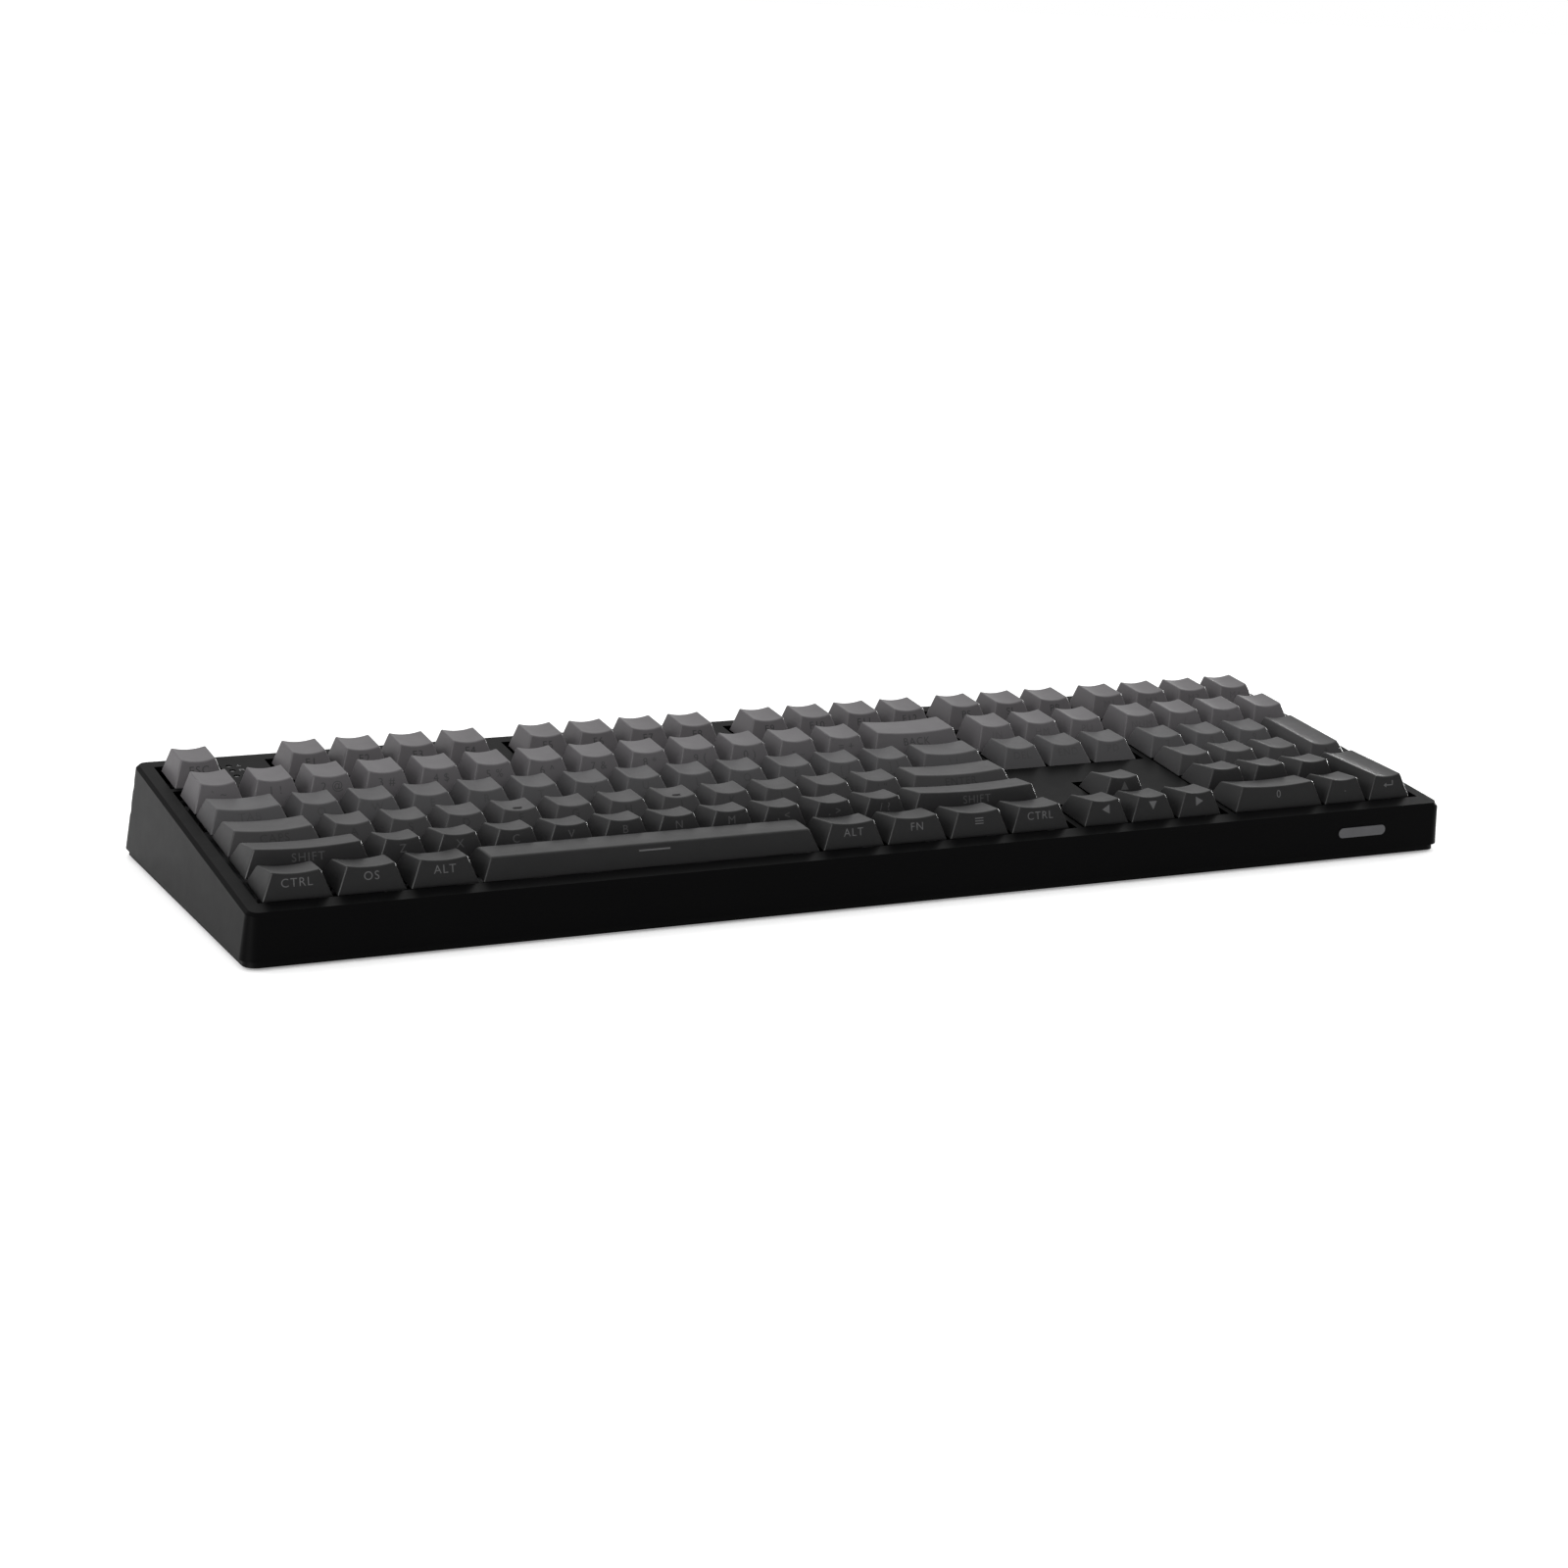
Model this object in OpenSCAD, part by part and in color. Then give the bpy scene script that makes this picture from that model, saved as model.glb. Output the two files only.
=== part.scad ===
// Full-size mechanical keyboard with a sloped two-piece case, 108 keys on plate-mounted switches and two
// flip feet. Keys and everything on the deck are drawn in the deck frame: X to the right and Y to the back
// from the front left corner of the key field, Z up from the keycaps' lower edges. deck_frame() stands that
// frame on the desk, centred on the footprint, with the desk at Z = 0.

/* [Key field] */
// Key pitch, one unit
unit = 19.05; // [18.8:0.05:19.3]
// Gap between the number row and the function row, in units
function_gap = 0.25; // [0.2:0.05:0.35]
// Gap between a keycap's skirt and the edge of its slot
cap_gap = 0.7; // [0.5:0.05:0.8]
// How far the sides of a keycap lean in, from slot edge to top edge
cap_side = 3.7; // [3.4:0.1:3.9]
// Depth of the finger groove in a keycap's top
groove = 0.9; // [0.5:0.1:0.9]
// Thickness of a keycap's walls
cap_wall = 1.3; // [1:0.1:1.3]
// Key travel
travel = 4; // [3:0.1:4]

/* [Case] */
// Angle of the deck to the desk, in degrees
typing_angle = 6.2; // [5.8:0.1:6.8]
// Height of the keycaps' lower edges above the desk, at the front of the key field
front_height = 18.6; // [18.6:0.1:21]
// Deck beside the key field, left and right
side_bezel = 6.6; // [6.3:0.1:8]
// Deck in front of the key field
front_bezel = 9.3; // [8.8:0.1:10]
// Deck behind the key field
rear_bezel = 7.5; // [7:0.1:8.5]
// Height of the deck's top face above the keycaps' lower edges
deck_rise = 0.8; // [0.5:0.1:1]
// Radius of the case's upright corners, at the deck
corner_r = 4; // [3:0.5:5]
// Lean of the case's sides, in degrees
draft_angle = 5.6; // [4:0.1:6]
// Chamfer round the deck's top edge
edge_chamfer = 1.1; // [0.8:0.1:1.2]
// Thickness of the case's walls
wall = 2.5; // [2.2:0.1:2.6]
// Height of the bottom tray's band that shows under the top case
band = 2.2; // [2:0.1:2.4]
// How far the band is set back at the front
band_inset = 1.3; // [1:0.1:1.6]

/* [Flip feet] */
// Width of a flip foot
foot_w = 26; // [20:1:32]
// Length of a flip foot from its pin to its tip
foot_len = 25; // [20:1:28]
// Distance of each flip foot's middle from the keyboard's middle
foot_x = 180; // [150:1:190]

/* [Hidden] */
$fn = 48;
fine = 0.05;                 // running and locating clearance
far = 600;                   // larger than the keyboard

// ---- Levels in the deck frame
deck_t = 2.5;
switch_top = -0.2;
plate_top = -6.8;
plate_t = 1.5;
board_top = plate_top - 5;
board_t = 1.6;
board_bottom = board_top - board_t;
foot_gap = 0.8;              // rubber feet stand this far proud of the tray
tray_floor = foot_gap + band;

// ---- Key field
rows_depth = (6 + function_gap) * unit;
field_w = 22.5 * unit;
function radial(a) = tan(draft_angle) * a;
function row_y(r) = r == 0 ? (5 + function_gap) * unit : (5 - r) * unit;

// Top face of the keycaps in each row, back row first: [front edge from slot front, height of front edge,
// back edge from slot front, height of back edge]
ROW_TOPS = [
    [4.8, 8.5, 17.6, 8.3], [5.1, 8.8, 18.0, 8.6], [5.3, 7.05, 17.3, 6.4],
    [4.9, 7.0, 17.0, 5.75], [3.4, 8.8, 15.7, 6.3], [3.5, 8.6, 16.2, 6.05]
];
ROW_COLOURS = ["#8a8688", "#8a8688", "#6f6c6e", "#5c5a5c", "#4b4a4b", "#3a393a"];
SPACE_TOP = [3.9, 7.2, 15.6, 6.2];

// Keys of one body: [name, row, [left edge, width] of each key in units]
function run(first, count) = [for (i = [0:count - 1]) [first + i, 1]];
KEY_GROUPS = [
    ["key_escape", 0, run(0, 1)],
    ["keys_f1_to_f4", 0, run(2, 4)],
    ["keys_f5_to_f8", 0, run(6.5, 4)],
    ["keys_f9_to_f12", 0, run(11, 4)],
    ["keys_system", 0, run(15.25, 3)],
    ["keys_media", 0, run(18.5, 4)],
    ["keys_number_row", 1, run(0, 13)],
    ["key_backspace", 1, [[13, 2]]],
    ["keys_keypad_operators", 1, run(18.5, 4)],
    ["key_tab", 2, [[0, 1.5]]],
    ["keys_upper_letters", 2, run(1.5, 12)],
    ["key_backslash", 2, [[13.5, 1.5]]],
    ["keys_keypad_789", 2, run(18.5, 3)],
    ["key_caps_lock", 3, [[0, 1.75]]],
    ["keys_home_letters", 3, run(1.75, 11)],
    ["key_enter", 3, [[12.75, 2.25]]],
    ["keys_keypad_456", 3, run(18.5, 3)],
    ["key_left_shift", 4, [[0, 2.25]]],
    ["keys_lower_letters", 4, run(2.25, 10)],
    ["key_right_shift", 4, [[12.25, 2.75]]],
    ["key_arrow_up", 4, run(16.25, 1)],
    ["keys_keypad_123", 4, run(18.5, 3)],
    ["key_left_ctrl", 5, [[0, 1.25]]],
    ["key_left_os", 5, [[1.25, 1.25]]],
    ["key_left_alt", 5, [[2.5, 1.25]]],
    ["key_space", 5, [[3.75, 6.25]]],
    ["key_right_alt", 5, [[10, 1.25]]],
    ["key_function", 5, [[11.25, 1.25]]],
    ["key_menu", 5, [[12.5, 1.25]]],
    ["key_right_ctrl", 5, [[13.75, 1.25]]],
    ["key_arrow_left", 5, run(15.25, 1)],
    ["key_arrow_down", 5, run(16.25, 1)],
    ["key_arrow_right", 5, run(17.25, 1)],
    ["key_keypad_0", 5, [[18.5, 2]]],
    ["key_keypad_point", 5, run(20.5, 1)]
];
NAVIGATION_ROWS = [1, 2];
NAVIGATION_X = run(15.25, 3);
// Keys two rows tall: [name, front row]
TALL_KEYS = [["key_keypad_plus", 3], ["key_keypad_enter", 5]];
TALL_X = 21.5;
HOMING_X = [4.75, 7.75];     // left edges of the two home keys that carry a bar

// Every switch: [middle x, middle y] in the deck frame
function middle_of(row, key) = [(key[0] + key[1] / 2) * unit, row_y(row) + unit / 2];
SWITCHES = concat(
    [for (g = KEY_GROUPS) for (k = g[2]) middle_of(g[1], k)],
    [for (r = NAVIGATION_ROWS) for (k = NAVIGATION_X) middle_of(r, k)],
    [for (t = TALL_KEYS) [(TALL_X + 0.5) * unit, row_y(t[1]) + unit]]
);

// Every stabilised key: [middle x, middle y, distance of each stabiliser from the middle, turn]
stab_reach = 11.9;
space_reach = 50;
function reach_of(w) = w > 6 ? space_reach : stab_reach;
STABILISED = concat(
    [for (g = KEY_GROUPS) for (k = g[2]) if (k[1] >= 2) concat(middle_of(g[1], k), [reach_of(k[1]), 0])],
    [for (t = TALL_KEYS) [(TALL_X + 0.5) * unit, row_y(t[1]) + unit, stab_reach, 90]]
);

// Cut-outs in the deck: [left, front, width, depth] in units of the key field
CUTOUTS = concat(
    [for (c = [[0, 1], [2, 4], [6.5, 4], [11, 4], [15.25, 3], [18.5, 4]]) [c[0], 5 + function_gap, c[1], 1]],
    [[0, 0, 15, 5], [15.25, 3, 3, 2], [16.25, 0, 1, 2], [15.25, 0, 3, 1], [18.5, 0, 4, 5]]
);
cutout_margin = 1.25;

// ---- Screws. Places are [x, y] in the deck frame
M2_R = 1;
M25_R = 1.25;
post_r = 2.6;
strip_y = (5 + function_gap / 2) * unit;
nav_gap_x = 15.1 * unit;
pad_gap_x = 18.4 * unit;
CASE_SCREWS = [
    for (x = [3.25 * unit, 6.25 * unit, 10.75 * unit, nav_gap_x, pad_gap_x, 19.25 * unit]) [x, strip_y],
    [nav_gap_x, 0.5 * unit], [pad_gap_x, 0.5 * unit], [16.75 * unit, 2.5 * unit],
    [-2, 2.5 * unit], [field_w + 2, 2.5 * unit]
];
BOARD_SCREWS = [
    for (p = [[1, 4], [7, 4], [12.5, 4], [17.25, 3], [3, 2], [10, 2], [19.5, 3], [20.5, 2], [6.5, 1], [17.9, 2]])
        p * unit
];

// ---- Indicators, USB socket, badge
INDICATORS = [for (y = [106.5, 111.7, 116.1]) [23.3, y]];
light_pipe_r = 1.05;
usb_x = 6.25 * unit;
usb_h = 3.2;
usb_w = 8.94;
usb_depth = 7.3;
usb_z = board_top + usb_h / 2 + fine;
badge_x = 400.7;
badge_z = -6.9;
badge_w = 20;
badge_h = 3.6;
badge_t = 0.8;

// ---- Flip feet, in the desk frame
foot_t = 3.6;
foot_pin_r = 1;
foot_barrel_r = 2.6;
foot_pin_z = foot_gap + 0.1 + foot_barrel_r;
foot_pin_y = 56;
pocket_side = 0.6;
pocket_top = foot_pin_z + foot_barrel_r + 0.3;
pocket_wall = 1.6;
FEET = [["flip_foot_left", -1], ["flip_foot_right", 1]];

// ---- Place of the deck frame above the desk
edge_drop = edge_chamfer - deck_rise;
front_edge = (front_bezel + radial(edge_drop)) * cos(typing_angle) - edge_drop * sin(typing_angle);
rear_low_z = -(front_height - tray_floor + (rows_depth + rear_bezel) * sin(typing_angle))
    / (cos(typing_angle) - radial(1) * sin(typing_angle));
rear_edge = (rows_depth + rear_bezel + radial(-rear_low_z)) * cos(typing_angle) - rear_low_z * sin(typing_angle);
deck_y = (front_edge - rear_edge) / 2;

// ------------------------------------------------------------------ frames and shared shapes

module deck_frame() {
    translate([-field_w / 2, deck_y, front_height]) rotate([typing_angle, 0, 0]) children();
}

module at(places) {
    for (p = places) translate([p[0], p[1], 0]) children();
}

// A block centred on Z whose sides lean in from [w0, d0] at z0 to [w1, d1] at z1
module leaning_block(z0, size0, z1, size1) {
    intersection() {
        rotate([90, 0, 0]) linear_extrude(far, center = true) polygon([
            [-size0[0] / 2, z0], [size0[0] / 2, z0], [size1[0] / 2, z1], [-size1[0] / 2, z1]
        ]);
        rotate([90, 0, 90]) linear_extrude(far, center = true) polygon([
            [-size0[1] / 2, z0], [size0[1] / 2, z0], [size1[1] / 2, z1], [-size1[1] / 2, z1]
        ]);
    }
}

// The case outline between two levels, grown or shrunk by grow0 at z0 and grow1 at z1. corner is the radius
// of its upright corners where it isn't grown, and has to be more than it shrinks.
module case_slice(z0, grow0, z1, grow1, corner = corner_r) {
    x0 = corner - side_bezel;
    x1 = field_w - x0;
    y0 = corner - front_bezel;
    y1 = rows_depth + rear_bezel - corner;
    r0 = corner + grow0;
    r1 = corner + grow1;
    for (x = [x0, x1]) for (y = [y0, y1]) translate([x, y, z0]) cylinder(h = z1 - z0, r1 = r0, r2 = r1);
    translate([0, y1, 0]) rotate([90, 0, 0]) linear_extrude(y1 - y0)
        polygon([[x0 - r0, z0], [x1 + r0, z0], [x1 + r1, z1], [x0 - r1, z1]]);
    translate([x0, 0, 0]) rotate([90, 0, 90]) linear_extrude(x1 - x0)
        polygon([[y0 - r0, z0], [y1 + r0, z0], [y1 + r1, z1], [y0 - r1, z1]]);
}

// The drafted case body, set in by inset, from a low level up to top
module case_body(inset, top, corner = corner_r) {
    bottom = -48;
    case_slice(bottom, radial(-bottom) - inset, top, radial(-top) - inset, corner);
}

// Everything between two heights above the desk
module desk_layer(z0, z1) {
    translate([-far / 2, -far / 2, z0]) cube([far, far, z1 - z0]);
}

// A flat-sided bar with round ends, drawn along X and standing on Z = 0
module round_bar(w, h, t) {
    for (x = [(h - w) / 2, (w - h) / 2]) translate([x, 0, 0]) cylinder(h = t, d = h);
    translate([(h - w) / 2, -h / 2, 0]) cube([w - h, h, t]);
}

// ------------------------------------------------------------------ keycaps and their stems

cross_top = 3.7;
cross_arm = 4;
cross_t = 1.2;
socket_r = 2.75;
socket_bottom = 0.2;

module cross(gap, z0, z1) {
    for (turn = [0, 90]) rotate([0, 0, turn])
        translate([-(cross_arm + gap) / 2, -(cross_t + gap) / 2, z0]) cube([cross_arm + gap, cross_t + gap, z1 - z0]);
}

// Solid outer form of a keycap, its slot's corner at the origin. inset shrinks every face.
module cap_form(width, depth, top, inset, drop) {
    lean = (cap_side - cap_gap) / ((top[1] + top[3]) / 2);
    high = 10;
    edge = cap_gap + inset;
    intersection() {
        rotate([90, 0, 90]) linear_extrude(width) polygon([
            [edge, -drop], [depth - edge, -drop],
            [top[2] - inset, top[3] - drop], [top[0] + inset, top[1] - drop]
        ]);
        translate([0, depth, 0]) rotate([90, 0, 0]) linear_extrude(depth) polygon([
            [edge, -drop], [width - edge, -drop],
            [width - edge - lean * high, high - drop], [edge + lean * high, high - drop]
        ]);
    }
}

// The finger groove: a long cylinder lying along the keycap's sloping top
module cap_groove(width, top) {
    half = width / 2 - cap_side;
    r = (half * half / groove + groove) / 2;
    slope = atan((top[3] - top[1]) / (top[2] - top[0]));
    translate([width / 2, top[0], top[1]]) rotate([slope, 0, 0])
        translate([0, 0, r - groove]) rotate([90, 0, 0])
            cylinder(h = far, r = r, center = true, $fn = 720);
}

// One keycap. posts lists where its sockets stand, measured from its middle.
module keycap(width, depth, top, posts, grooved) {
    roof = groove + 1;
    difference() {
        cap_form(width, depth, top, 0, 0);
        if (grooved) cap_groove(width, top);
        difference() {
            cap_form(width, depth, top, cap_wall, roof);
            translate([width / 2, depth / 2, 0]) at(posts) cylinder(h = 12, r = socket_r);
        }
        translate([width / 2, depth / 2, 0]) at(posts) {
            translate([0, 0, -1]) cylinder(h = 1 + socket_bottom, r = socket_r + fine);
            cross(2 * fine, -1, cross_top + fine);
        }
    }
}

// The switch's slider: a cross that the keycap presses on to, over a block with a bore for the spring
module slider() {
    block_top = switch_top - 0.1;
    block_h = travel + 0.3;
    difference() {
        union() {
            cross(0, block_top - 0.5, cross_top);
            translate([-3.5, -2.8, block_top - block_h]) cube([7, 5.6, block_h]);
        }
        translate([0, 0, block_top - block_h - 1]) cylinder(h = block_h, r = 2.35);
    }
}

// The stabiliser's slider: the same cross on a longer, narrower block
module stabiliser_slider() {
    block_h = travel + 2.7;
    cross(0, switch_top - 0.6, cross_top);
    translate([-2.1, -2.8, switch_top - 0.1 - block_h]) cube([4.2, 5.6, block_h]);
}

// One key: cap, slider and, on a wide key, two stabiliser sliders, which are turned on a tall key. Its
// slot's corner is at the origin.
module key(width, depth, top, posts, grooved = true, turn = 0) {
    keycap(width, depth, top, concat([[0, 0]], posts), grooved);
    translate([width / 2, depth / 2, 0]) {
        slider();
        at(posts) rotate([0, 0, turn]) stabiliser_slider();
    }
}

module row_key(row, k) {
    space = k[1] > 6;
    reach = k[1] >= 2 ? reach_of(k[1]) : 0;
    translate([k[0] * unit, row_y(row), 0])
        key(k[1] * unit, unit, space ? SPACE_TOP : ROW_TOPS[row], reach > 0 ? [[-reach, 0], [reach, 0]] : [], !space);
}

module homing_bar(row, k) {
    top = ROW_TOPS[row];
    translate([(k[0] + 0.5) * unit, row_y(row) + top[0] + 2.6, top[1] - groove])
        rotate([0, 90, 0]) cylinder(h = 3.4, r = 0.45, center = true);
}

module key_group(g) {
    color(ROW_COLOURS[g[1]]) deck_frame() {
        for (k = g[2]) row_key(g[1], k);
        if (g[0] == "keys_home_letters") for (x = HOMING_X) homing_bar(g[1], [x, 1]);
    }
}

module keys_navigation() {
    for (r = NAVIGATION_ROWS)
        color(ROW_COLOURS[r]) deck_frame() for (k = NAVIGATION_X) row_key(r, k);
}

module tall_key(t) {
    front = ROW_TOPS[t[1]];
    back = ROW_TOPS[t[1] - 1];
    color(ROW_COLOURS[t[1]]) deck_frame() translate([TALL_X * unit, row_y(t[1]), 0])
        key(unit, 2 * unit, [front[0], front[1], back[2] + unit, back[3]], [[0, -stab_reach], [0, stab_reach]],
            turn = 90);
}

// ------------------------------------------------------------------ case

module deck_cutouts() {
    for (c = CUTOUTS)
        translate([c[0] * unit - cutout_margin, c[1] * unit - cutout_margin, -deck_t - 1])
            cube([c[2] * unit + 2 * cutout_margin, c[3] * unit + 2 * cutout_margin, deck_t + 3]);
}

module usb_outline(grow, y0, y1) {
    translate([usb_x, y1, usb_z]) rotate([90, 0, 0]) round_bar(usb_w + 2 * grow, usb_h + 2 * grow, y1 - y0);
}

// Puts the badge's back on the front wall, its face outwards
module on_front_wall(sink) {
    translate([badge_x, -front_bezel + radial(badge_z), badge_z])
        rotate([90 - draft_angle, 0, 0]) translate([0, 0, -sink]) children();
}

module top_case() {
    neck_bottom = plate_top + 2.1;
    color("#2c2b2d") intersection() {
        desk_layer(tray_floor + 0.02, far);
        deck_frame() {
            difference() {
                union() {
                    case_body(0, -edge_drop);
                    case_slice(-edge_drop, radial(edge_drop), deck_rise, radial(edge_drop) - edge_chamfer);
                }
                case_body(wall, -deck_t);
                deck_cutouts();
                at(INDICATORS) translate([0, 0, -deck_t - 1]) cylinder(h = deck_t + 3, r = light_pipe_r + fine);
                usb_outline(0.2, rows_depth, rows_depth + 20);
                on_front_wall(0.5) round_bar(badge_w + 2 * fine, badge_h + 2 * fine, 2);
            }
            intersection() {
                case_body(wall - 0.5, -deck_t);
                difference() {
                    at(CASE_SCREWS) {
                        translate([0, 0, -40]) cylinder(h = 40 + neck_bottom, r = post_r);
                        translate([0, 0, neck_bottom - 0.5]) cylinder(h = 0.5 - neck_bottom, r = 1.6);
                    }
                    at(CASE_SCREWS) translate([0, 0, -41]) cylinder(h = 34, r = M25_R + fine);
                    deck_cutouts();
                }
            }
        }
    }
}

// The hollow that a folded flip foot lies in, and the same shape with its walls
module foot_pocket(grow) {
    low = foot_pin_y - foot_len - pocket_side;
    high = foot_pin_y + foot_barrel_r + pocket_side;
    half = foot_w / 2 + pocket_side;
    translate([-half - grow, low - grow, foot_gap - 1 + (grow > 0 ? 1.5 : 0)])
        cube([2 * (half + grow), high - low + 2 * grow, pocket_top - foot_gap + 1 + grow - (grow > 0 ? 1.5 : 0)]);
}

module foot_pin(r, l) {
    translate([0, foot_pin_y, foot_pin_z]) rotate([0, 90, 0]) cylinder(h = l, r = r, center = true);
}

module rubber_foot_shape(grow) {
    for (p = [[-190, -54], [0, -54], [190, -54], [-110, 54], [110, 54]])
        translate([p[0], p[1], 0]) round_bar(30 + 2 * grow, 8 + 2 * grow, 1.4);
}

module bottom_case() {
    rib_top = tray_floor + 1.6;
    color("#232224") difference() {
        union() {
            intersection() {
                desk_layer(foot_gap, tray_floor);
                deck_frame() case_body(band_inset, -2);
            }
            intersection() {
                desk_layer(tray_floor - 0.5, rib_top);
                deck_frame() difference() {
                    case_body(wall + 0.3, -2);
                    case_body(wall + 2.1, -1, 2 * corner_r);
                    at(CASE_SCREWS) translate([0, 0, -42]) cylinder(h = 40, r = post_r + 0.3);
                }
            }
            intersection() {
                desk_layer(tray_floor - 0.5, far);
                deck_frame() at(BOARD_SCREWS) translate([0, 0, -42]) cylinder(h = 42 + board_bottom, r = post_r);
            }
            for (f = FEET) translate([f[1] * foot_x, 0, 0]) foot_pocket(pocket_wall);
        }
        deck_frame() at(BOARD_SCREWS) translate([0, 0, board_bottom - 5]) cylinder(h = 6, r = M2_R + fine);
        deck_frame() at(CASE_SCREWS) translate([0, 0, -42]) cylinder(h = 38, r = M25_R + 0.15);
        at_case_heads() cylinder(h = 2, r = 2.7);
        for (f = FEET) translate([f[1] * foot_x, 0, 0]) {
            foot_pocket(0);
            foot_pin(foot_pin_r + 0.02, foot_w + 2 * pocket_side + 2 * pocket_wall - 1);
        }
        rubber_foot_shape(0.1);
    }
}

// Places its children at the case screws' heads, along the screws, 1 mm into the tray
module at_case_heads() {
    for (p = CASE_SCREWS) {
        level = (foot_gap + 1.2 - front_height - p[1] * sin(typing_angle)) / cos(typing_angle);
        deck_frame() translate([p[0], p[1], level]) mirror([0, 0, 1]) children();
    }
}

// ------------------------------------------------------------------ inside the case

module board_outline() {
    edge_x = side_bezel - wall - 0.2;
    front = 2.5;
    translate([-edge_x, -front]) square([field_w + 2 * edge_x, front + rows_depth + rear_bezel - wall]);
}

module round_holes(places, r) {
    for (p = places) translate([p[0], p[1]]) circle(r = r);
}

module stabiliser_places() {
    for (s = STABILISED) translate([s[0], s[1], 0]) rotate([0, 0, s[3]])
        for (side = [-1, 1]) translate([side * s[2], 0, 0]) children();
}

module switch_plate() {
    color("#77787c") deck_frame() translate([0, 0, plate_top - plate_t]) linear_extrude(plate_t) difference() {
        board_outline();
        at(SWITCHES) square(14, center = true);
        stabiliser_places() square([7, 13], center = true);
        round_holes(CASE_SCREWS, post_r + 0.3);
        round_holes(BOARD_SCREWS, M2_R + 0.15);
        round_holes(INDICATORS, light_pipe_r + 0.3);
    }
}

CONTACT_PINS = [[-3.81, 2.54], [2.54, 5.08]];

module circuit_board() {
    color("#1f5a3a") deck_frame() translate([0, 0, board_bottom]) linear_extrude(board_t) difference() {
        board_outline();
        round_holes(SWITCHES, 2.1);
        at(SWITCHES) round_holes(CONTACT_PINS, 0.6);
        round_holes(CASE_SCREWS, post_r + 0.3);
        round_holes(BOARD_SCREWS, M2_R + 0.15);
    }
}

module case_foam() {
    foam_t = 3;
    front = 24;
    color("#3d3d42") intersection() {
        desk_layer(tray_floor + fine, tray_floor + foam_t);
        difference() {
            deck_frame() translate([6, front, -42]) cube([field_w - 12, rows_depth - front, 42]);
            deck_frame() at(concat(CASE_SCREWS, BOARD_SCREWS)) translate([0, 0, -42]) cylinder(h = 42, r = post_r + 0.5);
            for (f = FEET) translate([f[1] * foot_x, 0, 0]) foot_pocket(pocket_wall + 0.5);
        }
    }
}

module switch_base() {
    floor_z = board_top + fine + 1.2;
    difference() {
        union() {
            translate([-6.95, -6.95, board_top + fine]) cube([13.9, 13.9, plate_top - board_top]);
            translate([-7.8, -7.8, plate_top]) cube([15.6, 15.6, 1]);
            translate([0, 0, board_top - 3.3]) cylinder(h = 4, r = 2);
        }
        translate([-5.8, -5.8, floor_z]) cube([11.6, 11.6, 10]);
    }
    translate([0, 0, floor_z - 0.5]) cylinder(h = 4.5, r = 1.4);
}

module switch_bases() {
    color("#1d1d1f") deck_frame() at(SWITCHES) switch_base();
}

module switch_tops() {
    low = plate_top + 1 + fine;
    color("#4a3a34") deck_frame() at(SWITCHES) difference() {
        leaning_block(low, [14.2, 13.6], switch_top, [9.2, 7]);
        leaning_block(low - 0.1, [11.8, 11], switch_top - 1.2, [8.2, 6.4]);
        translate([-3.7, -3, low]) cube([7.4, 6, 8]);
    }
}

// Each coil spring as a plain tube of its outer and inner diameter
module switch_springs() {
    spring_bottom = board_top + 1.3 + fine;
    spring_top = switch_top - 1.5;
    color("#c9b26a") deck_frame() at(SWITCHES) translate([0, 0, spring_bottom]) difference() {
        cylinder(h = spring_top - spring_bottom, r = 2.1);
        translate([0, 0, -1]) cylinder(h = 20, r = 1.6);
    }
}

module switch_contacts() {
    color("#c8a050") deck_frame() at(SWITCHES) at(CONTACT_PINS)
        translate([0, 0, board_top - 3]) cylinder(h = 3, r = 0.5);
}

stab_bottom = board_top + fine;
stab_top = switch_top - 4.2;

module stabiliser_housings() {
    color("#1b1b1d") deck_frame() stabiliser_places() difference() {
        translate([-3.3, -6.2, stab_bottom]) cube([6.6, 12.4, stab_top - stab_bottom]);
        translate([-2.4, -3.1, stab_bottom + 0.5]) cube([4.8, 6.2, 10]);
        translate([-1.1, -8, stab_bottom + 0.5]) cube([2.2, 6, 2.6]);
    }
}

// A spring-steel bar along the front of each stabilised switch, with an arm back into each housing
module stabiliser_wires() {
    wire_r = 0.75;
    bar_y = -8.1;
    wire_z = stab_bottom + 1.8;
    color("#b9bbc0") deck_frame() for (s = STABILISED) translate([s[0], s[1], wire_z]) rotate([0, 0, s[3]]) {
        translate([0, bar_y, 0]) rotate([0, 90, 0]) cylinder(h = 2 * s[2], r = wire_r, center = true);
        for (side = [-1, 1]) translate([side * s[2], bar_y, 0]) {
            sphere(r = wire_r);
            rotate([-90, 0, 0]) cylinder(h = 5, r = wire_r);
        }
    }
}

module indicator_light_pipes() {
    low = board_top + 0.8;
    color("#d8dde2") deck_frame() at(INDICATORS) translate([0, 0, low]) cylinder(h = deck_rise - 0.3 - low, r = light_pipe_r);
}

module indicator_leds() {
    color("#f2f2e6") deck_frame() at(INDICATORS) translate([-0.8, -0.6, board_top + fine]) cube([1.6, 1.2, 0.7]);
}

module usb_socket() {
    mouth = rows_depth + rear_bezel + radial(-usb_z) - 0.2;
    inner = -0.32;
    color("#a9abae") deck_frame() {
        difference() {
            usb_outline(0, mouth - usb_depth, mouth);
            usb_outline(inner, mouth - usb_depth + 1, mouth + 1);
        }
        translate([usb_x - 3.35, mouth - usb_depth + 0.5, usb_z - 0.35]) cube([6.7, usb_depth - 1.2, 0.7]);
    }
}

module controller_chip() {
    chip = 10;
    color("#151516") deck_frame() translate([298, 42.6, board_bottom - 1.2]) cube([chip, chip, 1.15]);
}

module rubber_feet() {
    color("#141414") rubber_foot_shape(0);
}

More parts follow.
